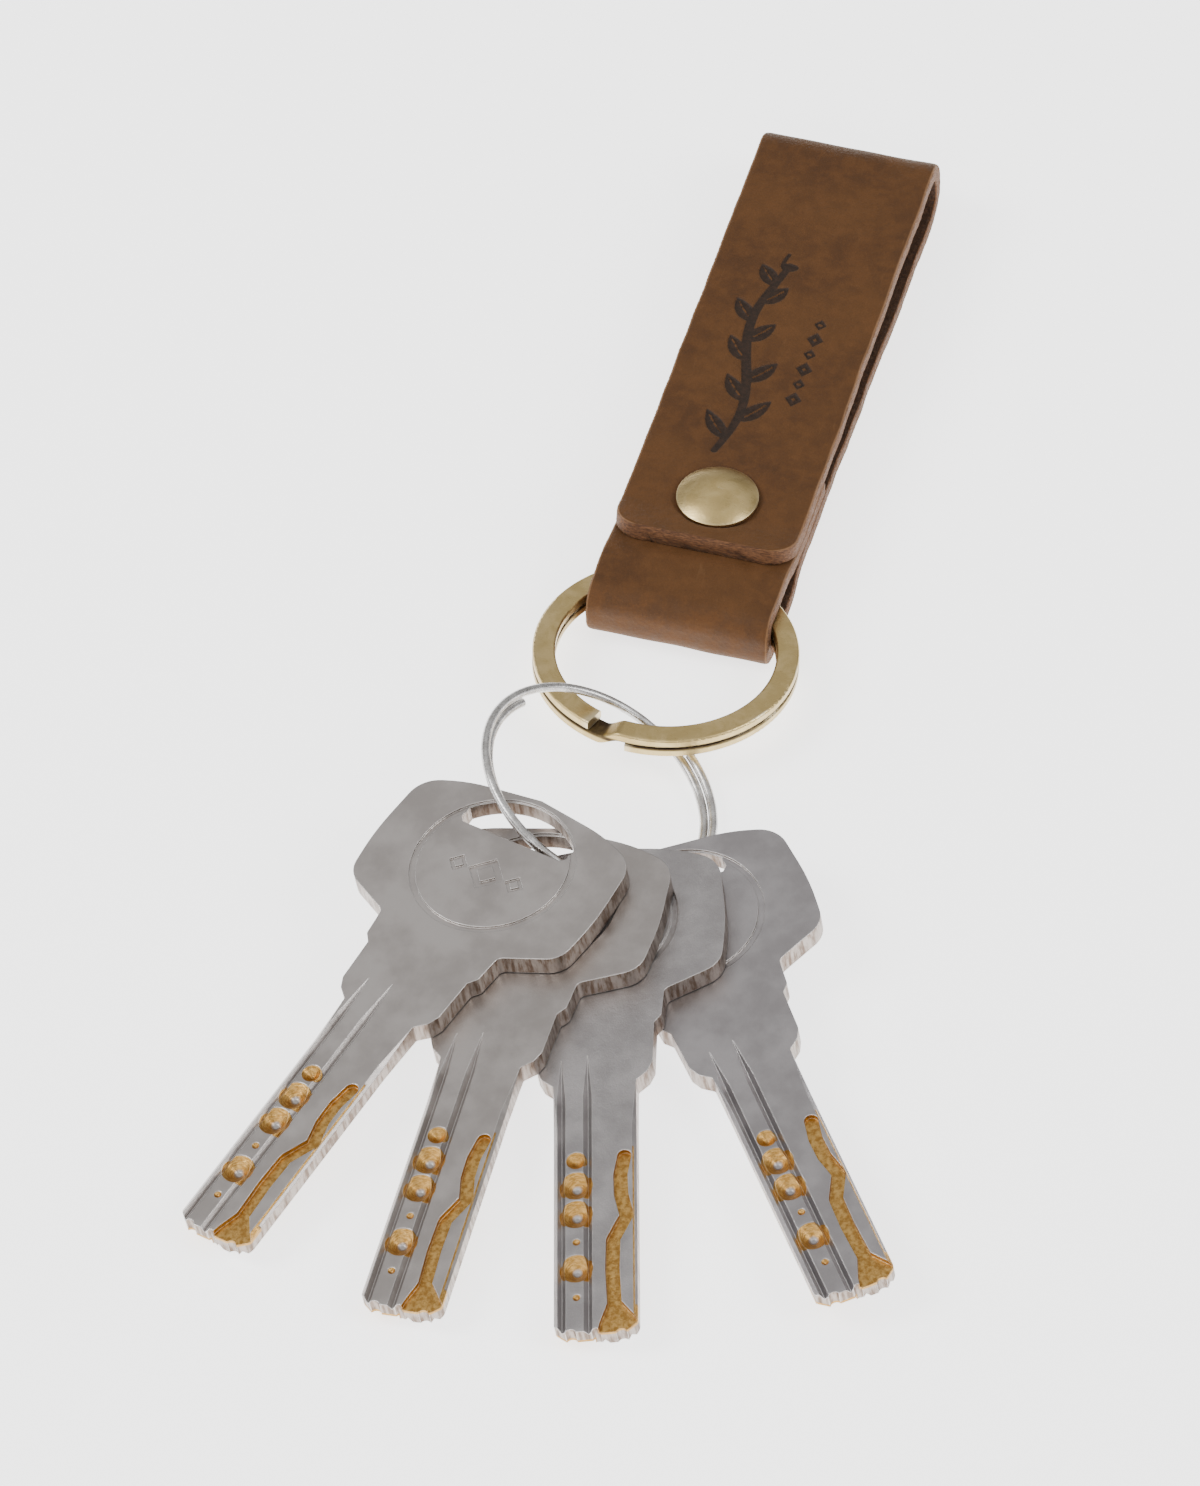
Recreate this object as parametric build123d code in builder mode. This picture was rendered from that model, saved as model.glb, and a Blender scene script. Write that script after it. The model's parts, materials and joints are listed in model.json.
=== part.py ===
from build123d import *
from math import atan2, cos, degrees, pi, radians, sin
import os

# A key fob lying on a table: a folded leather strap closed by one double-cap
# rivet, a flat split ring in its lower fold, and a wire ring with four keys.
# Millimetres. Origin: centre of the split ring, on the table. +Y runs up the
# strap, +Z away from the table.

# leather strap
strap_width = 19.8
leather = 1.9
strap_top_y = 79.0          # outside of the top bend
fold_y = 3.9                # outside of the lower bend
flap_end_y = 13.6
tongue_end_y = 28.0
loop_height = 8.65          # table to the top of the open loop
pocket_height = 3.15        # room for the split ring in the lower fold
rivet_lift = 1.75           # the strap arches off the table at the rivet
layer_gap = 0.1             # hairline between stacked layers of leather
flap_corner = 3.0

# rivet
rivet_y = 20.5
cap_radius = 4.4
cap_rim = 0.45
cap_dome = 1.75
post_radius = 1.2
tube_radius = 1.7
back_radius = 3.8
back_thickness = 0.8

# split ring, two flat coils
ring_inner = 11.6
ring_outer = 14.0
coil_thickness = 1.1
coil_gap = 0.1
ring_height = 4.05          # middle of the coils over the table
ring_tilt = 3.5             # near side raised, degrees
upper_end = -110.0          # angles round the ring, degrees
jog_start = -106.0
jog_end = -94.5
lower_end = -92.5

# wire ring, a coil that widens as it rises
wire_radius = 0.475
coil_radius = 12.1
coil_pitch = 0.75
coil_growth = 0.70
coil_turns = 1.735
coil_centre = Vector(-1.59, -21.96, 5.83)
coil_axis = Vector(0.4466, 0.1067, 0.8884)
coil_start = 134.0

# keys, local x to the tip, local y across, origin at the emblem's centre
key_thickness = 2.3
key_gap = 0.1
fan_slope_x = 0.1289        # rise of the keys' shared plane along +X
fan_slope_y = 0.0875
fan_height = 13.85          # top face of the upper key, over the origin
key_places = {              # x, y and heading of each key, from the top down
    "key_1": (-7.61, -37.80, -16.8),
    "key_2": (-2.62, -39.39, 0.9),
    "key_3": (3.40, -39.01, 16.0),
    "key_4": (11.48, -35.21, 35.0),
}
bow_top = -9.3
bow_half_width = 13.5
blade_half_width = 4.15
shoulder = 21.0
key_tip = 51.2
circle_outer = 8.6
circle_inner = 7.95
engraving = 0.22
slot_chord = -3.5
slot_arc = 8.4
slot_half_length = 6.4
groove_half_width = 0.45
groove_run = 5.0            # stretch over which a groove deepens
grooves = (                 # side, start and depth
    (-3.35, 17.8, 0.6),
    (-0.72, 17.4, 0.6),
    (-4.15, 21.6, 0.4),
    (4.15, 21.6, 0.4),
)
pin_row = -1.85             # across the blade
pin_cuts = (                # distance to the emblem's centre, radius and depth
    (30.4, 1.05, 0.75),
    (33.5, 1.7, 1.0),
    (37.0, 1.7, 1.0),
    (40.4, 0.42, 0.3),
    (43.6, 1.7, 1.0),
    (47.1, 0.42, 0.3),
)
track_depth = 0.55
track_radius = 0.72
track_route = (
    (30.3, 2.95),
    (32.6, 2.55),
    (35.0, 2.6),
    (37.6, 3.15),
    (40.4, 1.8),
    (44.0, 1.7),
    (48.6, 1.9),
)

os.makedirs("parts", exist_ok=True)


# ---------------------------------------------------------------- strap
def strap_route():
    """Middle line of the folded leather strip, flap end to tongue end."""
    half = leather / 2
    step = leather + layer_gap
    front_z = loop_height - half
    ceiling_z = leather + pocket_height + half
    arch_z = rivet_lift + half
    tongue_z = arch_z + step
    flap_z = arch_z + 2 * step
    fold = fold_y + half
    top = strap_top_y - half
    points = (
        (flap_end_y, flap_z + 0.9),
        (18.1, flap_z),
        (31.5, flap_z),
        (64.0, front_z),
        (top, front_z),
        (top, half),
        (62.0, half),
        (31.0, arch_z),
        (18.5, arch_z),
        (14.9, half),
        (fold, half),
        (fold, ceiling_z),
        (11.3, ceiling_z),
        (18.2, tongue_z),
        (tongue_end_y, tongue_z),
    )
    top_bend = (front_z - half) / 2 - 0.03
    bends = (10, 14, 14, top_bend, top_bend, 14, 14, 4, 5, 2.0, 1.6, 6, 12)
    return points, bends


route, bends = strap_route()
flap_top = rivet_lift + 3 * leather + 2 * layer_gap
with BuildPart() as leather_strap:
    with BuildLine(Plane.YZ) as middle:
        FilletPolyline(*route, radius=bends)
    with BuildSketch(Plane(origin=middle.line @ 0, z_dir=middle.line % 0, x_dir=(1, 0, 0))):
        Rectangle(strap_width, leather)
    sweep(path=middle.line)
    # rounded corners at the flap's free end
    flap_edges = leather_strap.edges().filter_by(lambda e: abs(e.length - leather) < 0.01)
    fillet(flap_edges.sort_by(Axis.Y)[:2], flap_corner)
    # punched hole, and the hollows that the two caps are pressed into
    with BuildSketch(Plane.XY):
        with Locations((0, rivet_y)):
            Circle(tube_radius + 0.05)
    extrude(amount=loop_height, mode=Mode.SUBTRACT)
    with BuildSketch(Plane.XY):
        with Locations((0, rivet_y)):
            Circle(back_radius + 0.1)
    extrude(amount=rivet_lift, mode=Mode.SUBTRACT)
    with BuildSketch(Plane.XY.offset(flap_top)):
        with Locations((0, rivet_y)):
            Circle(cap_radius + 0.1)
    extrude(amount=2, mode=Mode.SUBTRACT)
leather_strap.part.label = "leather_strap"
export_step(leather_strap.part, "parts/leather_strap.step")

# ---------------------------------------------------------------- rivet
post_start = rivet_lift - back_thickness + 0.9
with BuildPart() as rivet_cap:
    with BuildSketch(Plane.XZ.offset(-rivet_y)):
        with BuildLine():
            Line((0, post_start), (0, flap_top + cap_dome))
            ThreePointArc(
                (0, flap_top + cap_dome),
                (cap_radius * 0.6, flap_top + cap_dome * 0.78),
                (cap_radius, flap_top + cap_rim),
            )
            Polyline(
                (cap_radius, flap_top + cap_rim),
                (cap_radius, flap_top + 0.15),
                (cap_radius - 0.15, flap_top),
                (post_radius, flap_top),
                (post_radius, post_start),
                (0, post_start),
            )
        make_face()
    revolve(axis=Axis((0, rivet_y, 0), (0, 0, 1)))
rivet_cap.part.label = "rivet_cap"
export_step(rivet_cap.part, "parts/rivet_cap.step")

with BuildPart() as rivet_back:
    with BuildSketch(Plane.XY.offset(rivet_lift - back_thickness)):
        with Locations((0, rivet_y)):
            Circle(back_radius)
    extrude(amount=back_thickness)
    chamfer(rivet_back.edges().group_by(Axis.Z)[0], 0.25)
    with BuildSketch(Plane.XY.offset(rivet_lift)):
        with Locations((0, rivet_y)):
            Circle(tube_radius)
            Circle(post_radius + 0.04, mode=Mode.SUBTRACT)
    extrude(amount=3 * leather + 2 * layer_gap - 0.2)
rivet_back.part.label = "rivet_back"
export_step(rivet_back.part, "parts/rivet_back.step")

# ---------------------------------------------------------------- split ring
ring_plane = Plane(origin=(0, 0, ring_height), x_dir=(1, 0, 0),
                   z_dir=(0, sin(radians(ring_tilt)), cos(radians(ring_tilt))))
ring_middle = (ring_inner + ring_outer) / 2
layer_offset = (coil_thickness + coil_gap) / 2


def coil_section(angle, height):
    """Plane across the coil at an angle round the ring, y along the ring's axis."""
    centre = ring_plane.from_local_coords(
        Vector(ring_middle * cos(radians(angle)), ring_middle * sin(radians(angle)), height))
    outward = ring_plane.from_local_coords(
        Vector(cos(radians(angle)), sin(radians(angle)), 0)) - ring_plane.origin
    return Plane(origin=centre, x_dir=outward, z_dir=outward.cross(ring_plane.z_dir))


def coil_profile():
    RectangleRounded(ring_outer - ring_inner, coil_thickness, 0.26)


ring_axis = Axis(ring_plane.origin, ring_plane.z_dir)
with BuildPart() as split_ring:
    with BuildSketch(coil_section(jog_end, layer_offset)):
        coil_profile()
    revolve(axis=ring_axis, revolution_arc=360 + upper_end - jog_end)
    with BuildSketch(coil_section(lower_end, -layer_offset)):
        coil_profile()
    revolve(axis=ring_axis, revolution_arc=360 + jog_start - lower_end)
    # the jog climbs from the lower coil to the upper one
    steps = 6
    for i in range(steps + 1):
        share = i / steps
        angle = jog_start + (jog_end - jog_start) * share
        height = -layer_offset * cos(pi * share)
        with BuildSketch(coil_section(angle, height)):
            coil_profile()
    loft()
split_ring.part.label = "split_ring"
export_step(split_ring.part, "parts/split_ring.step")

# ---------------------------------------------------------------- wire ring
coil_plane = Plane(origin=coil_centre, z_dir=coil_axis, x_dir=(0.855, 0.2419, -0.4588))
coil_lead = (coil_pitch**2 + coil_growth**2) ** 0.5     # along the cone, per turn
coil = Helix(pitch=coil_lead, height=coil_pitch * coil_turns, radius=coil_radius,
             cone_angle=degrees(atan2(coil_growth, coil_pitch)))
coil = coil_plane.location * Rotation(0, 0, coil_start) * coil
with BuildPart() as wire_ring:
    with BuildSketch(Plane(origin=coil @ 0, z_dir=coil % 0)):
        Circle(wire_radius)
    sweep(path=coil, is_frenet=True)
wire_ring.part.label = "wire_ring"
export_step(wire_ring.part, "parts/wire_ring.step")


# ---------------------------------------------------------------- keys
def key_plane(x, y, heading, layer):
    """Middle plane of a key, local x to the tip."""
    steps = layer + 0.5 * key_thickness / (key_thickness + key_gap)
    drop = steps * (key_thickness + key_gap) * (1 + fan_slope_x**2 + fan_slope_y**2) ** 0.5
    along = Vector(sin(radians(heading)), -cos(radians(heading)), 0)
    rise = fan_slope_x * along.X + fan_slope_y * along.Y
    height = fan_height + fan_slope_x * x + fan_slope_y * y - drop
    return Plane(origin=(x, y, height), x_dir=(along.X, along.Y, rise),
                 z_dir=(-fan_slope_x, -fan_slope_y, 1))


def across(face, distance, side):
    """Plane across the blade, at a distance from the emblem and to one side."""
    origin = face.from_local_coords(Vector(distance, side, 0))
    return Plane(origin=origin, x_dir=face.y_dir, z_dir=face.x_dir)


def key_outline():
    """The whole silhouette: bow, stepped neck, blade and tip."""
    with BuildSketch() as outline:
        with BuildLine():
            FilletPolyline(
                (bow_top, 0),
                (bow_top + 1.1, 8.4),
                (bow_top + 3.0, bow_half_width - 0.6),
                (1.5, bow_half_width),
                (7.2, bow_half_width - 0.6),
                (9.8, 7.1),
                (13.0, 6.8),
                (13.9, 6.05),
                (18.8, 5.85),
                (20.0, 5.3),
                (shoulder, blade_half_width),
                (key_tip - 1.0, blade_half_width),
                (key_tip, blade_half_width - 1.2),
                (key_tip, 0),
                radius=(18, 3.4, 30, 2.8, 0.8, 0.5, 0.5, 0.7, 0.4, 0.4, 0.6, 0.5),
            )
            mirror(about=Plane.XZ)
        make_face()
    return outline.sketch


def key_slot():
    """Segment of the emblem's circle that the wire passes through."""
    end = -(slot_arc**2 - slot_half_length**2) ** 0.5
    with BuildSketch() as slot:
        with BuildLine():
            ThreePointArc((end, -slot_half_length), (-slot_arc, 0), (end, slot_half_length))
            Polyline(
                (end, slot_half_length),
                (slot_chord - 0.5, slot_half_length),
                (slot_chord, slot_half_length - 0.5),
                (slot_chord, 0.5 - slot_half_length),
                (slot_chord - 0.5, -slot_half_length),
                (end, -slot_half_length),
            )
        make_face()
    return slot.sketch


def face_cuts(face):
    """Everything cut into one face of a key."""
    with BuildPart() as cuts:
        # emblem: a circle round a row of three lozenges
        with BuildSketch(face):
            Circle(circle_outer)
            Circle(circle_inner, mode=Mode.SUBTRACT)
            for side, size in ((-3.4, 1.1), (0, 2.1), (3.4, 1.1)):
                with Locations((1.2, side)):
                    RegularPolygon(radius=size, side_count=4)
                    RegularPolygon(radius=size * 0.55, side_count=4, mode=Mode.SUBTRACT)
        extrude(amount=-engraving)
        # V grooves that deepen over their first stretch, and the blade's bevels
        for side, start, depth in grooves:
            for distance, share in ((start, 0.1), (start + groove_run, 1)):
                with BuildSketch(across(face, distance, side)):
                    with BuildLine():
                        Polyline(
                            (-groove_half_width * share, 0),
                            (0, -depth * share),
                            (groove_half_width * share, 0),
                            close=True,
                        )
                    make_face()
            loft()
            with BuildSketch(across(face, start + groove_run, side)):
                with BuildLine():
                    Polyline(
                        (-groove_half_width, 0),
                        (0, -depth),
                        (groove_half_width, 0),
                        close=True,
                    )
                make_face()
            extrude(amount=key_tip)
        # conical cuts for the pins
        for distance, radius, depth in pin_cuts:
            with BuildSketch(face):
                with Locations((distance, pin_row)):
                    Circle(radius)
            with BuildSketch(face.offset(-depth)):
                with Locations((distance, pin_row)):
                    Circle(radius * 0.15)
            loft()
        # milled track that opens into a mouth at the tip
        with BuildSketch(face):
            with BuildLine() as track:
                FilletPolyline(*track_route, radius=1.0)
            trace(track.line, line_width=2 * track_radius)
            with Locations(track_route[0]):
                Circle(track_radius)
            with BuildLine():
                Polyline(
                    (key_tip - 3.2, 1.9 - track_radius),
                    (key_tip - 3.2, 1.9 + track_radius),
                    (key_tip - 0.9, blade_half_width + 0.1),
                    (key_tip + 0.5, blade_half_width + 0.1),
                    (key_tip + 0.5, 0.1),
                    (key_tip - 0.9, 0.4),
                    close=True,
                )
            make_face()
        extrude(amount=-track_depth)
    return cuts.part


# a key is the same on both faces: its lower half is the upper one turned over
upper_face = Plane.XY.offset(key_thickness / 2)
with BuildPart() as key_half:
    with BuildSketch(Plane.XY):
        add(key_outline())
        add(key_slot(), mode=Mode.SUBTRACT)
        # scallops in the tip
        for side, radius in ((-2.5, 0.6), (0, 0.5), (2.5, 0.6)):
            with Locations((key_tip + 0.25, side)):
                Circle(radius, mode=Mode.SUBTRACT)
    extrude(amount=key_thickness / 2)
    add(face_cuts(upper_face), mode=Mode.SUBTRACT)
with BuildPart() as key_blank:
    add(key_half.part)
    add(key_half.part, rotation=(180, 0, 0))

# four keys cut alike, each on its own plane of the fan
for layer, (name, place) in enumerate(key_places.items()):
    key = key_plane(*place, layer).location * key_blank.part
    key.label = name
    export_step(key, f"parts/{name}.step")
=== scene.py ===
import json
from math import atan2, cos, hypot, pi, radians, sin, sqrt, tan

import bpy
import numpy as np
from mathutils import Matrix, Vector


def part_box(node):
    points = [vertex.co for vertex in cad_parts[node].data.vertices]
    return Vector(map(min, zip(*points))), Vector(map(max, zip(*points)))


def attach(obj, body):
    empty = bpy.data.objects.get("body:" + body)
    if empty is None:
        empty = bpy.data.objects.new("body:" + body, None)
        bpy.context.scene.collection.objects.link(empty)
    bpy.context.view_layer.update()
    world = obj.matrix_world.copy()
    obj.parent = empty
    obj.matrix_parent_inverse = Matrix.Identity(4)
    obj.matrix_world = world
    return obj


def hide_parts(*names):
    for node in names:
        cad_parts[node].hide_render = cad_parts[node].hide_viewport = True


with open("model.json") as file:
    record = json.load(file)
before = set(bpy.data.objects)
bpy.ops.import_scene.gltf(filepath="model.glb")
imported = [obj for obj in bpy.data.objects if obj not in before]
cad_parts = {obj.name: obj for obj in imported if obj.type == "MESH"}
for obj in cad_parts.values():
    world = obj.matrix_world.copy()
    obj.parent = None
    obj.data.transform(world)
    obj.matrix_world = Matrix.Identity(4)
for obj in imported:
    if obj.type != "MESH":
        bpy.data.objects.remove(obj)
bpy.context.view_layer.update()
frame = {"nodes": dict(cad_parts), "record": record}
MM = 0.001


# ------------------------------------------------------------------ camera
target = Vector((-4.3, -10.1, 0.0)) * MM
azimuth, elevation, distance = radians(15.8), radians(47.0), 0.8131
back = Vector((sin(azimuth) * cos(elevation), -cos(azimuth) * cos(elevation), sin(elevation)))
camera = bpy.data.objects.new("camera", bpy.data.cameras.new("camera"))
bpy.context.collection.objects.link(camera)
camera.location = target + back * distance
camera.rotation_mode = "QUATERNION"
camera.rotation_quaternion = (-back).to_track_quat("-Z", "Y")
camera.data.sensor_width = 36.0
camera.data.lens = 188.7            # for the frame's long side
camera.data.clip_start, camera.data.clip_end = 0.02, 20.0
bpy.context.scene.camera = camera


# ------------------------------------------------------------------ node helpers
class Shader:
    """Short calls for building one material's nodes."""

    def __init__(self, name):
        self.mat = bpy.data.materials.new(name)
        self.mat.use_nodes = True
        self.tree = self.mat.node_tree
        self.bsdf = self.tree.nodes["Principled BSDF"]
        self.coords = self.new("ShaderNodeTexCoord")

    def new(self, kind, **settings):
        node = self.tree.nodes.new(kind)
        for key, value in settings.items():
            setattr(node, key, value)
        return node

    def put(self, socket, value):
        if isinstance(value, bpy.types.NodeSocket):
            self.tree.links.new(value, socket)
        else:
            socket.default_value = value

    def math(self, operation, a, b=0.0, c=0.0, clamp=False):
        node = self.new("ShaderNodeMath", operation=operation, use_clamp=clamp)
        for socket, value in zip(node.inputs, (a, b, c)):
            self.put(socket, value)
        return node.outputs[0]

    def step(self, value, low, high, to_low=0.0, to_high=1.0):
        """Smooth change from to_low to to_high while value goes from low to high."""
        node = self.new("ShaderNodeMapRange", interpolation_type="SMOOTHSTEP")
        for socket, v in zip(node.inputs, (value, low, high, to_low, to_high)):
            self.put(socket, v)
        return node.outputs[0]

    def dot(self, vector, other):
        node = self.new("ShaderNodeVectorMath", operation="DOT_PRODUCT")
        self.put(node.inputs[0], vector)
        self.put(node.inputs[1], other)
        return node.outputs["Value"]

    def local(self, origin, axes):
        """Position in millimetres along three axes from an origin given in metres."""
        shifted = self.new("ShaderNodeVectorMath", operation="SUBTRACT")
        self.put(shifted.inputs[0], self.coords.outputs["Object"])
        self.put(shifted.inputs[1], origin)
        return [self.dot(shifted.outputs[0], Vector(axis) * 1000) for axis in axes]

    def vector(self, x, y, z):
        node = self.new("ShaderNodeCombineXYZ")
        for socket, value in zip(node.inputs, (x, y, z)):
            self.put(socket, value)
        return node.outputs[0]

    def stretched(self, axes, factors):
        return self.vector(*(self.math("MULTIPLY", axis, factor) for axis, factor in zip(axes, factors)))

    def noise(self, vector, scale, detail=3.0, roughness=0.55, distortion=0.0):
        node = self.new("ShaderNodeTexNoise")
        self.put(node.inputs["Vector"], vector)
        self.put(node.inputs["Scale"], scale)
        self.put(node.inputs["Detail"], detail)
        self.put(node.inputs["Roughness"], roughness)
        self.put(node.inputs["Distortion"], distortion)
        return node.outputs["Fac"]

    def cells(self, vector, scale, feature="F1"):
        node = self.new("ShaderNodeTexVoronoi", feature=feature)
        self.put(node.inputs["Vector"], vector)
        self.put(node.inputs["Scale"], scale)
        return node.outputs["Distance"]

    def mix(self, share, a, b, blend="MIX"):
        node = self.new("ShaderNodeMix", data_type="RGBA", blend_type=blend)
        self.put(node.inputs[0], share)
        for socket, value in ((node.inputs[6], a), (node.inputs[7], b)):
            self.put(socket, (*value, 1.0) if isinstance(value, tuple) and len(value) == 3 else value)
        return node.outputs[2]

    def bump(self, height, distance, strength=1.0, normal=None):
        node = self.new("ShaderNodeBump")
        self.put(node.inputs["Strength"], strength)
        self.put(node.inputs["Distance"], distance)
        self.put(node.inputs["Height"], height)
        if normal is not None:
            self.put(node.inputs["Normal"], normal)
        return node.outputs[0]

    def rounding(self, radius):
        """Normal rounded over the edges, and a mask of those edges."""
        bevel = self.new("ShaderNodeBevel", samples=6)
        bevel.inputs["Radius"].default_value = radius
        geometry = self.new("ShaderNodeNewGeometry")
        product = self.new("ShaderNodeVectorMath", operation="DOT_PRODUCT")
        self.put(product.inputs[0], bevel.outputs[0])
        self.put(product.inputs[1], geometry.outputs["Normal"])
        return bevel.outputs[0], self.step(product.outputs["Value"], 0.99, 0.90)

    def attribute(self, name):
        return self.new("ShaderNodeAttribute", attribute_name=name).outputs["Fac"]

    def finish(self, color, roughness, normal=None, metallic=0.0, **inputs):
        self.put(self.bsdf.inputs["Base Color"], color)
        self.put(self.bsdf.inputs["Roughness"], roughness)
        self.put(self.bsdf.inputs["Metallic"], metallic)
        if normal is not None:
            self.put(self.bsdf.inputs["Normal"], normal)
        for name, value in inputs.items():
            self.put(self.bsdf.inputs[name.replace("_", " ")], value)
        return self.mat


def set_material(node, material):
    obj = frame["nodes"][node]
    for slot in obj.material_slots:
        slot.material = material
    return obj


# ------------------------------------------------------------------ strap
low, high = (corner * 1000 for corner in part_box("leather_strap"))
cap_low, cap_high = (corner * 1000 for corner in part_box("rivet_cap"))
back_low, back_high = (corner * 1000 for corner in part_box("rivet_back"))
leather, layer_gap, pocket = 1.9, 0.1, 3.15
half_width = (high.x - low.x) / 2
fold_y, top_y, loop_height = low.y, high.y, high.z
rivet_y, rivet_lift = (cap_low.y + cap_high.y) / 2, back_low.z + 0.8


def strap_corners():
    """Corners of the folded strip's middle line and the bend radius at each, flap end first."""
    half = leather / 2
    step = leather + layer_gap
    front, fold, top = loop_height - half, fold_y + half, top_y - half
    ceiling, arch = leather + pocket + half, rivet_lift + half
    tongue, flap = arch + step, arch + 2 * step
    bend = (front - half) / 2 - 0.03
    return [
        (13.6, flap + 0.9, 0), (18.1, flap, 10), (31.5, flap, 14), (64.0, front, 14), (top, front, bend),
        (top, half, bend), (62.0, half, 14), (31.0, arch, 14), (18.5, arch, 4), (14.9, half, 5), (fold, half, 2.0),
        (fold, ceiling, 1.6), (11.3, ceiling, 6), (18.2, tongue, 12), (28.0, tongue, 0),
    ]


def rounded(corners, spacing):
    """Points along straight runs joined by arcs."""
    points = [np.array(corners[0][:2])]
    for (ay, az, _), (by, bz, radius), (cy, cz, _) in zip(corners, corners[1:], corners[2:]):
        a, b, c = np.array((ay, az)), np.array((by, bz)), np.array((cy, cz))
        u, v = (a - b) / np.linalg.norm(a - b), (c - b) / np.linalg.norm(c - b)
        half = np.arccos(np.clip(u @ v, -1, 1)) / 2
        start, end = b + u * radius / tan(half), b + v * radius / tan(half)
        centre = b + (u + v) / np.linalg.norm(u + v) * radius / sin(half)
        first = atan2(*(start - centre)[::-1])
        sweep = (atan2(*(end - centre)[::-1]) - first + pi) % (2 * pi) - pi
        count = max(4, int(abs(sweep) * radius / spacing) + 1)
        points += [centre + radius * np.array((cos(first + sweep * t), sin(first + sweep * t)))
                   for t in np.linspace(0, 1, count + 1)]
    points.append(np.array(corners[-1][:2]))
    return np.array(points)


def resampled(points, stations):
    lengths = np.r_[0, np.cumsum(np.linalg.norm(np.diff(points, axis=0), axis=1))]
    return np.stack([np.interp(stations, lengths, points[:, i]) for i in (0, 1)], 1)


line = rounded(strap_corners(), 0.15)
strip_length = float(np.linalg.norm(np.diff(line, axis=0), axis=1).sum())


def wave(x, y, seed, scale):
    """Smooth pseudo-random surface made of a few sines, within about -1 to 1."""
    rng = np.random.default_rng(seed)
    total = np.zeros(np.broadcast(x, y).shape)
    for _ in range(7):
        angle, size, phase = rng.uniform(0, 2 * pi), rng.uniform(0.6, 1.7) / scale, rng.uniform(0, 2 * pi)
        total = total + np.sin((np.cos(angle) * x + np.sin(angle) * y) * size * 2 * pi + phase)
    return total / 4.2


# ornament pressed into the front: a leafy sprig along the strap and a row of small seeds beside it
def stroke(px, py, points, widths):
    """How far each point is inside a line that runs through points with a changing half width."""
    depth = np.full(px.shape, -9.0)
    for (ax, ay), (bx, by), wa, wb in zip(points, points[1:], widths, widths[1:]):
        t = np.clip(((px - ax) * (bx - ax) + (py - ay) * (by - ay)) / ((bx - ax) ** 2 + (by - ay) ** 2), 0, 1)
        distance = np.hypot(px - ax - t * (bx - ax), py - ay - t * (by - ay))
        depth = np.maximum(depth, wa + (wb - wa) * t - distance)
    return depth


def ornament(x, y):
    """Inside depth in millimetres of the pressed pattern; x across the strap, y along it."""
    stem = [(-2.3 + 1.2 * sin(t * 2.2 * pi), 27.6 + 29.0 * t) for t in np.linspace(0, 1, 40)]
    depth = stroke(x, y, stem, [0.42 + 0.16 * sin(pi * t) for t in np.linspace(0, 1, 40)])
    for i in range(9):
        t = 0.08 + i * 0.102
        sx, sy = -2.3 + 1.2 * sin(t * 2.2 * pi), 27.6 + 29.0 * t
        side = 1 if i % 2 else -1
        length = 3.5 - 0.12 * i
        leaf = [(sx + side * length * 0.82 * u, sy + length * 0.95 * u ** 1.35) for u in np.linspace(0, 1, 9)]
        depth = np.maximum(depth, stroke(x, y, leaf, [0.2 + 0.8 * sin(pi * min(u * 1.02, 1)) ** 0.9
                                                     for u in np.linspace(0, 1, 9)]))
        vein = stroke(x, y, leaf[2:8], [0.1] * 6)
        depth = np.where(vein > 0, np.minimum(depth, -vein), depth)
    curl = [(-2.1 + 1.7 * (1 - t) * sin(5.2 * t), 56.2 + 2.2 * t + 0.9 * cos(5.2 * t) - 0.6)
            for t in np.linspace(0, 1, 24)]
    depth = np.maximum(depth, stroke(x, y, curl, [0.36 - 0.12 * t for t in np.linspace(0, 1, 24)]))
    for i in range(6):
        cy, size = 37.2 + i * 2.3, 1.1 - 0.25 * (i % 2)
        depth = np.maximum(depth, size - (np.abs(x - 3.9) * 1.15 + np.abs(y - cy)))
        depth = np.where(np.hypot(x - 3.9, y - cy) < 0.22, -0.1, depth)
    return depth


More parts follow.
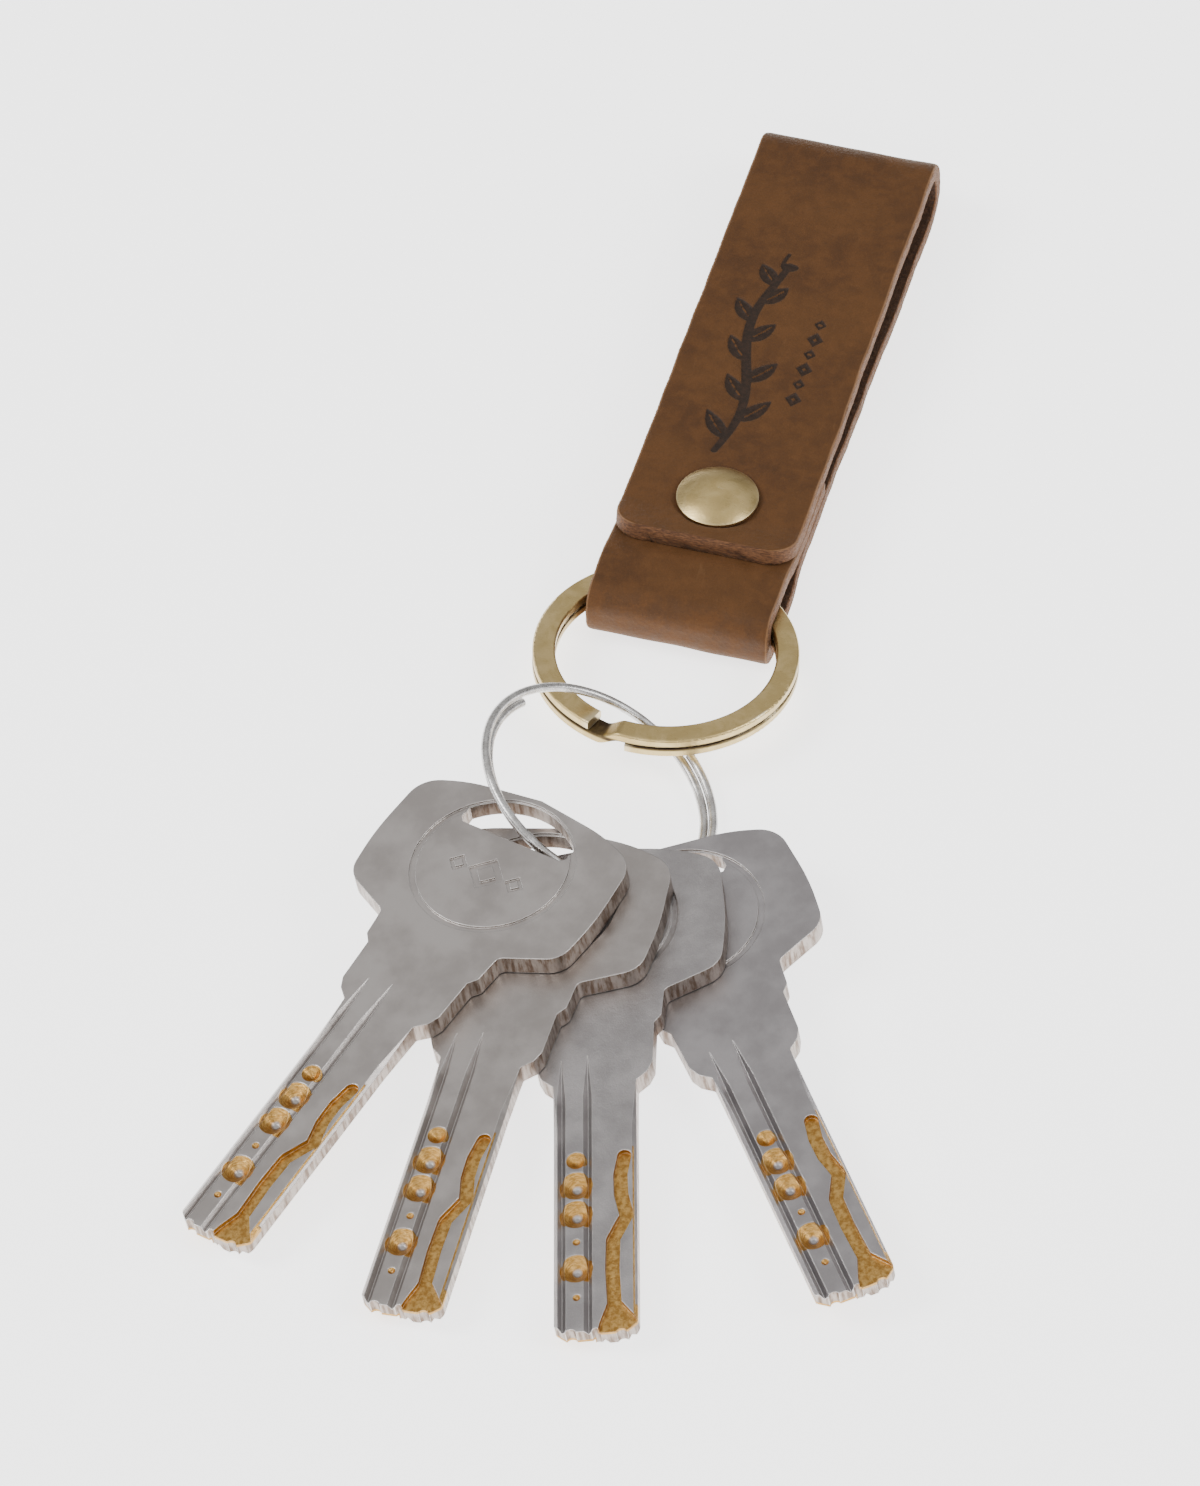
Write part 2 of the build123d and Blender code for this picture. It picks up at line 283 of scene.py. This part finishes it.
def build_strap():
    """The folded strip as one closed mesh, with its worn surface and its pressed ornament in the shape."""
    stations, s = [0.0], 0.0
    fine_from, fine_to = 12.0, 48.0
    while s < strip_length:
        s += 0.05 if s < 0.5 else 0.17 if s < 3 or fine_from < s < fine_to else 0.4
        stations.append(min(s, strip_length))
    stations = np.array(stations)
    middle = resampled(line, stations)
    ahead = resampled(line, np.clip(stations + 0.2, 0, strip_length))
    behind = resampled(line, np.clip(stations - 0.2, 0, strip_length))
    tangent = (ahead - behind) / np.linalg.norm(ahead - behind, axis=1)[:, None]
    outward = np.stack([-tangent[:, 1], tangent[:, 0]], 1)      # grain side
    # the strip turns clockwise, so the grain side is on its left
    columns = int(2 * (half_width - 0.35) / 0.17)
    flat = np.linspace(-1, 1, columns)
    ring = []
    r, h = 0.3, leather / 2
    for u in flat:
        ring.append((u * (half_width - r), h, 0.0))
    for a in np.linspace(0, 1, 4)[1:]:
        ring.append((half_width - r + r * sin(a * pi / 2), h - r + r * cos(a * pi / 2), 0.5 * a))
    for t in np.linspace(1, -1, 8)[1:-1]:
        ring.append((half_width, (h - r) * t, 0.5))
    for a in np.linspace(1, 0, 4):
        ring.append((half_width - r + r * sin(a * pi / 2), -h + r - r * cos(a * pi / 2), 1.0 - 0.5 * a))
    for u in flat[::-1][1:-1]:
        ring.append((u * (half_width - r), -h, 1.0))
    for a in np.linspace(0, 1, 4):
        ring.append((-half_width + r - r * sin(a * pi / 2), -h + r - r * cos(a * pi / 2), 1.0 - 0.5 * a))
    for t in np.linspace(-1, 1, 8)[1:-1]:
        ring.append((-half_width, (h - r) * t, 0.5))
    for a in np.linspace(1, 0, 4)[:-1]:
        ring.append((-half_width + r - r * sin(a * pi / 2), h - r + r * cos(a * pi / 2), 0.5 * a))
    ring = np.array(ring)
    x, n, side = ring[:, 0][None], ring[:, 1][None], ring[:, 2][None]
    s = stations[:, None]
    # free ends: rounded corners at the flap, nearly square ones at the hidden tongue
    corner = 3.0
    from_end = corner - np.minimum(s, corner)
    inset = np.where(s < corner, corner - np.sqrt(np.maximum(0, corner**2 - from_end**2)), 0)
    x = x * (half_width - inset) / half_width
    # hand-cut edges and a slightly uneven surface
    ragged = wave(s * 1.0, s * 0 + np.sign(x) * 40, 5, 9)
    x = x + 0.07 * np.sign(x) * (np.abs(x) > half_width - inset - 0.5) * ragged
    on_edge = (side > 0.25) & (side < 0.75)
    fibre = wave(s * 3.1, n * 5.0 + np.sign(x) * 9, 6, 1.3) + 0.6 * wave(s * 9.0, n * 7.0, 7, 1.1)
    x = x + 0.035 * on_edge * np.sign(x) * fibre
    y, z = middle[:, 0][:, None], middle[:, 1][:, None]
    lift = 0.05 * wave(x, s, 8, 7.0) * (side < 0.25)
    lift = lift + (side > 0.75) * (0.07 * wave(x * 2.4, s * 2.4, 9, 2.0) + 0.04 * wave(x * 7, s * 7, 10, 2.0))
    front = (side < 0.25) & (s < 60) & (s > 1)
    ys = y + 0 * x
    depth = np.where(front & (s > 12) & (s < 50), ornament(x + 0 * y, ys), -9.0)
    pressed = np.clip((depth + 0.06) / 0.22, 0, 1)
    lift = lift - 0.2 * pressed + 0.035 * np.clip(1 - np.abs(depth + 0.28) / 0.25, 0, 1)
    # the cap is pressed into the sloping flap and raises a soft rim
    around = np.hypot(x, ys - rivet_y)
    rim = front & (s < 14)
    seat = rivet_lift + 3 * leather + 2 * layer_gap - 0.02
    over = (z + n - seat) * rim
    sink = np.where(over > 0, over, 0) + 0.1
    lift = np.where(rim & (around < 5.0), lift - sink * (1 - np.clip((around - 4.42) / 0.5, 0, 1)), lift)
    lift = np.where(rim, lift + 0.05 * np.exp(-((around - 5.6) / 0.6) ** 2), lift)
    # a pressed line follows each edge where the strip was cut
    lift = lift - 0.045 * np.exp(-(((half_width - inset) - np.abs(x) - 0.25) / 0.22) ** 2) * (side < 0.25)
    # the back cap's hollow, on the part of the strip that turns towards the table
    rear = (side < 0.25) & (z < 4) & (s > 60)
    lift = np.where(rear & (ys > 60), np.minimum(lift, 0.0), lift)
    below = np.where(rear & (around < 4.2), rivet_lift + 0.03 - (z - n), 0)
    lift = np.where(below > 0, lift - below * (1 - np.clip((around - 3.9) / 0.25, 0, 1)), lift)
    n = n + lift
    py, pz = y + outward[:, 0][:, None] * n, z + outward[:, 1][:, None] * n
    points = np.stack([x + 0 * py, py, pz], 2) * MM
    rows, cols = points.shape[:2]
    vertices = points.reshape(-1, 3)
    i = np.arange(rows - 1)[:, None] * cols
    j = np.arange(cols)[None]
    k = (j + 1) % cols
    quads = np.stack([i + j, i + k, i + cols + k, i + cols + j], 2).reshape(-1, 4)
    faces = quads[:, ::-1].tolist() + [list(range(cols)), list(range((rows - 1) * cols, rows * cols))[::-1]]
    mesh = bpy.data.meshes.new("strap_leather")
    mesh.from_pydata(vertices.tolist(), [], faces)
    sides = np.broadcast_to(side, (rows, cols)).copy()
    sides[0], sides[-1] = 0.5, 0.5
    for name, values in (("side", sides), ("pressed", pressed + 0 * x), ("along", s + 0 * x)):
        layer = mesh.attributes.new(name, "FLOAT", "POINT")
        layer.data.foreach_set("value", np.ascontiguousarray(values, np.float32).ravel())
    mesh.validate()
    mesh.update()
    mesh.shade_smooth()
    obj = bpy.data.objects.new("strap_leather", mesh)
    bpy.context.collection.objects.link(obj)
    return obj


def leather_material():
    s = Shader("brown_leather")
    p = s.vector(*s.local(Vector((0, 0, 0)), ((1, 0, 0), (0, 1, 0), (0, 0, 1))))
    side, pressed = s.attribute("side"), s.attribute("pressed")
    clouds = s.noise(p, 0.10, 4, 0.6, 0.4)
    mottle = s.noise(p, 0.55, 5, 0.62, 0.3)
    grain = s.noise(p, 3.2, 4, 0.65)
    nap = s.noise(p, 9.0, 2, 0.6)
    pebble = s.cells(p, 1.7)
    color = s.mix(s.step(clouds, 0.34, 0.66), (0.062, 0.0225, 0.0033), (0.086, 0.0330, 0.0058))
    color = s.mix(s.step(mottle, 0.36, 0.68, 0.0, 0.55), color, (0.118, 0.047, 0.0120))
    color = s.mix(s.step(grain, 0.52, 0.74, 0.0, 0.35), color, (0.045, 0.0165, 0.0050))
    color = s.mix(s.step(nap, 0.58, 0.78, 0.0, 0.38), color, (0.180, 0.084, 0.028))
    # light scuffs
    x, y, z = s.local(Vector((0, 0, 0)), ((1, 0, 0), (0, 1, 0), (0, 0, 1)))
    streak = s.noise(s.vector(s.math("MULTIPLY", x, 1.9), s.math("MULTIPLY", y, 0.22), z), 0.9, 4, 0.7, 0.8)
    color = s.mix(s.step(streak, 0.60, 0.80, 0.0, 0.35), color, (0.165, 0.077, 0.026))
    # pressed ornament, darkened by the hot stamp
    stamp = s.mix(s.step(s.noise(p, 2.2, 3), 0.35, 0.7), (0.010, 0.0048, 0.0025), (0.024, 0.0110, 0.0055))
    color = s.mix(s.math("MULTIPLY", s.step(pressed, 0.15, 0.75), 0.93), color, stamp)
    # cut edges: raw fibres
    fibre = s.noise(s.stretched((x, y, z), (1.0, 2.2, 5.0)), 1.5, 5, 0.7)
    raw = s.mix(s.step(fibre, 0.32, 0.7), (0.058, 0.022, 0.0095), (0.21, 0.092, 0.036))
    edge = s.math("MULTIPLY", s.step(side, 0.12, 0.4), s.step(side, 0.95, 0.72))
    color = s.mix(edge, color, raw)
    burnish = s.math("MULTIPLY", s.step(side, 0.01, 0.14), s.step(side, 0.42, 0.2))
    color = s.mix(s.math("MULTIPLY", burnish, 0.55), color, (0.27, 0.145, 0.066))
    # flesh side, rough and dark
    fluff = s.noise(p, 2.6, 6, 0.75, 1.2)
    flesh = s.mix(s.step(fluff, 0.36, 0.7), (0.030, 0.0125, 0.006), (0.105, 0.048, 0.021))
    color = s.mix(s.step(side, 0.82, 0.97), color, flesh)
    height = s.math("ADD", s.math("MULTIPLY", grain, 0.6), s.math("MULTIPLY", pebble, 0.5))
    height = s.math("ADD", height, s.math("MULTIPLY", nap, 0.35))
    height = s.math("ADD", height, s.math("MULTIPLY", s.math("MULTIPLY", fibre, edge), 1.6))
    height = s.math("ADD", height, s.math("MULTIPLY", s.math("MULTIPLY", fluff, s.step(side, 0.82, 0.97)), 2.4))
    normal = s.bump(height, 0.00010, 0.75)
    rough = s.step(mottle, 0.3, 0.7, 0.62, 0.78)
    rough = s.math("SUBTRACT", rough, s.math("MULTIPLY", pressed, 0.18))
    return s.finish(color, rough, normal, Specular_IOR_Level=0.32, Sheen_Weight=0.12, Sheen_Roughness=0.45,
                    Sheen_Tint=(0.75, 0.58, 0.42, 1.0))


strap = build_strap()
strap.data.materials.append(leather_material())
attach(strap, "strap")
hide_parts("leather_strap")


# ------------------------------------------------------------------ antique brass
def brass_material(name, tone, joint=None):
    """Satin antique brass; joint is the plane between two coils, where the gap is darkened as painted shade."""
    s = Shader(name)
    axes = s.local(Vector((0, 0, 0)), ((1, 0, 0), (0, 1, 0), (0, 0, 1)))
    p = s.vector(*axes)
    patina = s.noise(p, 0.42, 5, 0.62, 0.5)
    specks = s.noise(p, 3.4, 4, 0.7)
    brush = s.noise(s.stretched(axes, (0.6, 7.0, 1.0)), 1.6, 3, 0.6)
    color = s.mix(s.step(patina, 0.38, 0.66), tone[0], tone[1])
    color = s.mix(s.step(specks, 0.60, 0.78, 0.0, 0.4), color, tone[2])
    rough = s.step(brush, 0.3, 0.7, 0.27, 0.40)
    if joint:
        # painted shade: colour darkened close to the plane between the coils, varied a little by the patina
        away = s.math("ABSOLUTE", s.local(*joint)[0])
        coil_gap_shade = s.math("MULTIPLY", s.step(away, 0.42, 0.10), s.step(patina, 0.2, 0.55, 0.7, 1.0))
        color = s.mix(coil_gap_shade, color, tone[3])
        rough = s.math("ADD", rough, s.math("MULTIPLY", coil_gap_shade, 0.2))
    geometry = s.new("ShaderNodeNewGeometry")
    bright_edge = s.step(geometry.outputs["Pointiness"], 0.52, 0.60)
    color = s.mix(s.math("MULTIPLY", bright_edge, 0.6), color, (0.86, 0.76, 0.52))
    normal = s.bump(s.math("ADD", s.math("MULTIPLY", brush, 0.5), specks), 0.000025, 0.6)
    return s.finish(color, rough, normal, 1.0)


# the fourth colour is the dark painted shade between the ring's coils
brass_tones = ((0.52, 0.385, 0.165), (0.63, 0.480, 0.225), (0.26, 0.18, 0.08), (0.055, 0.036, 0.022))
ring_joint = next(j for j in frame["record"]["behaviour"]["joints"] if j["name"] == "ring_turn")
ring_brass = brass_material("ring_antique_brass", brass_tones,
                            (Vector(ring_joint["pos_m"]), (Vector(ring_joint["axis"]),)))
set_material("split_ring", ring_brass)
set_material("rivet_cap", brass_material("cap_antique_brass", brass_tones))
set_material("rivet_back", brass_material("back_antique_brass", brass_tones))


# ------------------------------------------------------------------ steel wire
def wire_material():
    s = Shader("steel_wire")
    axes = s.local(Vector((0, 0, 0)), ((1, 0, 0), (0, 1, 0), (0, 0, 1)))
    p = s.vector(*axes)
    tone = s.noise(p, 0.7, 4, 0.6)
    drawn = s.noise(p, 6.0, 3, 0.7)
    color = s.mix(s.step(tone, 0.35, 0.68), (0.47, 0.455, 0.44), (0.70, 0.69, 0.68))
    color = s.mix(s.step(drawn, 0.58, 0.8, 0.0, 0.45), color, (0.30, 0.27, 0.25))
    return s.finish(color, s.step(drawn, 0.3, 0.7, 0.24, 0.36), s.bump(drawn, 0.00003, 0.5), 1.0)


set_material("wire_ring", wire_material())


# ------------------------------------------------------------------ keys
def key_axes(name):
    """Origin at the emblem, and the key's own directions: to the tip, across, and out of the upper face."""
    joint = next(j for j in frame["record"]["behaviour"]["joints"] if j["child"] == name)
    up = Vector(joint["axis"]).normalized()
    obj = frame["nodes"][name]
    points = np.array([obj.matrix_world @ v.co for v in obj.data.vertices])
    flat = points - np.outer(points @ np.array(up), np.array(up))
    centre = flat.mean(0)
    along = Vector(np.linalg.svd(flat - centre, full_matrices=False)[2][0]).normalized()
    if along.y > 0:
        along = -along
    side = up.cross(along)
    u, v, w = points @ np.array(along), points @ np.array(side), points @ np.array(up)
    tip, middle, height = u.max(), (v.max() + v.min()) / 2, (w.max() + w.min()) / 2
    origin = along * (tip - 51.2 * MM) + side * middle + up * height
    return origin, along, side, up


PINS = ((30.4, 1.05), (33.5, 1.7), (37.0, 1.7), (40.4, 0.42), (43.6, 1.7), (47.1, 0.42))


def key_material(name, sand, tint):
    """Satin nickel over brass: plating, sheared sides, and brass where the cuts went through it."""
    s = Shader(name + "_nickel")
    origin, along, across, up = key_axes(name)
    u, v, w = s.local(origin, (along, across, up))
    p = s.vector(u, v, w)
    normal = s.coords.outputs["Normal"]
    flatness = s.math("ABSOLUTE", s.dot(normal, up))
    side = s.step(flatness, 0.5, 0.2)
    clouds = s.noise(p, 0.16, 4, 0.6)
    fine = s.noise(p, 5.5, 4, 0.7)
    sandy = s.noise(p, 2.3, 5, 0.8)
    color = s.mix(s.step(clouds, 0.35, 0.65), tint[0], tint[1])
    color = s.mix(s.step(fine, 0.56, 0.76, 0.0, 0.10 + 0.35 * sand), color, (0.36, 0.335, 0.325))
    # sheared side faces: streaks through the thickness, warm where the plating is thin, and darkened as painted
    # shade on faces that turn away from the top
    shear = s.noise(s.stretched((u, v, w), (2.2, 2.2, 0.45)), 0.8, 4, 0.6)
    shaded_side_colour = s.mix(s.step(shear, 0.34, 0.62), (0.150, 0.098, 0.066), (0.40, 0.345, 0.305))
    color = s.mix(s.math("MULTIPLY", side, 0.95), color, shaded_side_colour)
    # brass in the pin cuts and in the track
    turned = s.math("MULTIPLY", v, s.math("SIGN", w))
    deep = s.math("SUBTRACT", 1.15, s.math("ABSOLUTE", w))
    pins = None
    for distance, radius in PINS:
        du, dv = s.math("SUBTRACT", u, distance), s.math("ADD", turned, 1.85)
        away = s.math("SQRT", s.math("ADD", s.math("MULTIPLY", du, du), s.math("MULTIPLY", dv, dv)))
        disc = s.step(away, radius + 0.05, radius - 0.02)
        pins = disc if pins is None else s.math("MAXIMUM", pins, disc)
    track = s.math("MULTIPLY", s.step(turned, 0.12, 0.20), s.step(u, 29.0, 29.3))
    keep = s.math("MAXIMUM", s.step(turned, 3.95, 3.85), s.step(u, 48.2, 48.5))
    track = s.math("MULTIPLY", track, keep)
    below_face = s.math("MULTIPLY", s.step(deep, 0.015, 0.05), s.step(deep, 0.95, 0.75))
    cut = s.math("MULTIPLY", s.math("MAXIMUM", pins, track), below_face)
    tool = s.noise(s.vector(u, v, s.math("MULTIPLY", w, 6.0)), 2.0, 4, 0.65)
    gold = s.mix(s.step(tool, 0.36, 0.66), (0.36, 0.185, 0.045), (0.62, 0.385, 0.125))
    color = s.mix(cut, color, gold)
    # edges: rounded by 0.15 mm, and lightened in colour as a painted highlight
    rounded_normal, edges = s.rounding(0.15 * MM)
    bright_edge = s.math("MULTIPLY", edges, s.step(fine, 0.25, 0.5, 0.5, 1.0))
    highlight_strength = s.math("SUBTRACT", 0.75, s.math("MULTIPLY", cut, 0.6))
    color = s.mix(s.math("MULTIPLY", bright_edge, highlight_strength), color, (0.80, 0.78, 0.76))
    rough = s.step(clouds, 0.3, 0.7, 0.30, 0.38)
    rough = s.math("ADD", rough, s.math("MULTIPLY", s.step(fine, 0.4, 0.7), 0.10 * sand))
    height = s.math("ADD", s.math("MULTIPLY", sandy, 0.25 + 2.2 * sand), s.math("MULTIPLY", fine, 0.4))
    height = s.math("ADD", height, s.math("MULTIPLY", s.math("MULTIPLY", shear, side), 2.0))
    height = s.math("ADD", height, s.math("MULTIPLY", s.math("MULTIPLY", tool, cut), 2.0))
    return s.finish(color, rough, s.bump(height, 0.00003, 0.8, rounded_normal), 1.0)


KEY_LOOKS = {
    "key_1": (0.05, ((0.40, 0.368, 0.350), (0.50, 0.468, 0.450))),
    "key_2": (0.35, ((0.38, 0.348, 0.330), (0.48, 0.448, 0.430))),
    "key_3": (1.00, ((0.35, 0.330, 0.330), (0.47, 0.448, 0.446))),
    "key_4": (0.45, ((0.33, 0.310, 0.314), (0.43, 0.408, 0.412))),
}
for key_name, (sand, tint) in KEY_LOOKS.items():
    set_material(key_name, key_material(key_name, sand, tint))


# ------------------------------------------------------------------ floor and light
floor_mesh = bpy.data.meshes.new("floor")
edge = 3.0
floor_mesh.from_pydata([(-edge, -edge, 0), (edge, -edge, 0), (edge, edge, 0), (-edge, edge, 0)],
                       [], [(0, 1, 2, 3)])
floor = bpy.data.objects.new("floor", floor_mesh)
floor.location.z = -0.0002
bpy.context.collection.objects.link(floor)
paper = Shader("pale_floor")
paper_tone = paper.noise(paper.coords.outputs["Object"], 3.0, 3)
floor_mesh.materials.append(paper.finish(
    paper.mix(paper_tone, (0.93, 0.93, 0.93), (0.95, 0.95, 0.95)), 0.85, Specular_IOR_Level=0.1,
    Emission_Color=(1.0, 1.0, 1.0, 1.0), Emission_Strength=2.2))


LIGHT_AIM = (0, -0.02, 0)


def area_light(name, place, size, power):
    data = bpy.data.lights.new(name, "AREA")
    data.shape = "RECTANGLE"
    data.size, data.size_y = size
    data.energy = power
    lamp = bpy.data.objects.new(name, data)
    lamp.location = place
    lamp.rotation_mode = "QUATERNION"
    lamp.rotation_quaternion = (Vector(LIGHT_AIM) - Vector(place)).to_track_quat("-Z", "Y")
    bpy.context.collection.objects.link(lamp)


area_light("key_light", (-0.85, -0.35, 0.95), (0.6, 0.6), 9.0)
area_light("right_light", (0.95, -0.10, 0.80), (0.5, 0.6), 6.0)
area_light("front_light", (0.10, -1.10, 0.70), (0.7, 0.3), 4.0)
world = bpy.data.worlds.new("studio")
world.use_nodes = True
sky = world.node_tree
direction = sky.nodes.new("ShaderNodeTexCoord")
height = sky.nodes.new("ShaderNodeSeparateXYZ")
sky.links.new(direction.outputs["Generated"], height.inputs[0])
ramp = sky.nodes.new("ShaderNodeValToRGB")
ramp.color_ramp.elements[0].color = (0.80, 0.80, 0.81, 1)
ramp.color_ramp.elements[1].color = (0.90, 0.90, 0.90, 1)
for place, grey in ((0.35, 0.35), (0.72, 0.72)):
    ramp.color_ramp.elements.new(place).color = (grey, grey * 0.99, grey * 0.98, 1)
sky.links.new(height.outputs["Z"], ramp.inputs[0])
panels = sky.nodes.new("ShaderNodeTexNoise")
panels.inputs["Scale"].default_value, panels.inputs["Detail"].default_value = 2.2, 0.0
sky.links.new(direction.outputs["Generated"], panels.inputs["Vector"])
gain = sky.nodes.new("ShaderNodeMapRange")
gain.inputs["From Min"].default_value, gain.inputs["From Max"].default_value = 0.35, 0.65
gain.inputs["To Min"].default_value, gain.inputs["To Max"].default_value = 0.6, 1.3
sky.links.new(panels.outputs[0], gain.inputs["Value"])
sky.links.new(ramp.outputs[0], sky.nodes["Background"].inputs["Color"])
sky.links.new(gain.outputs[0], sky.nodes["Background"].inputs["Strength"])
bpy.context.scene.world = world
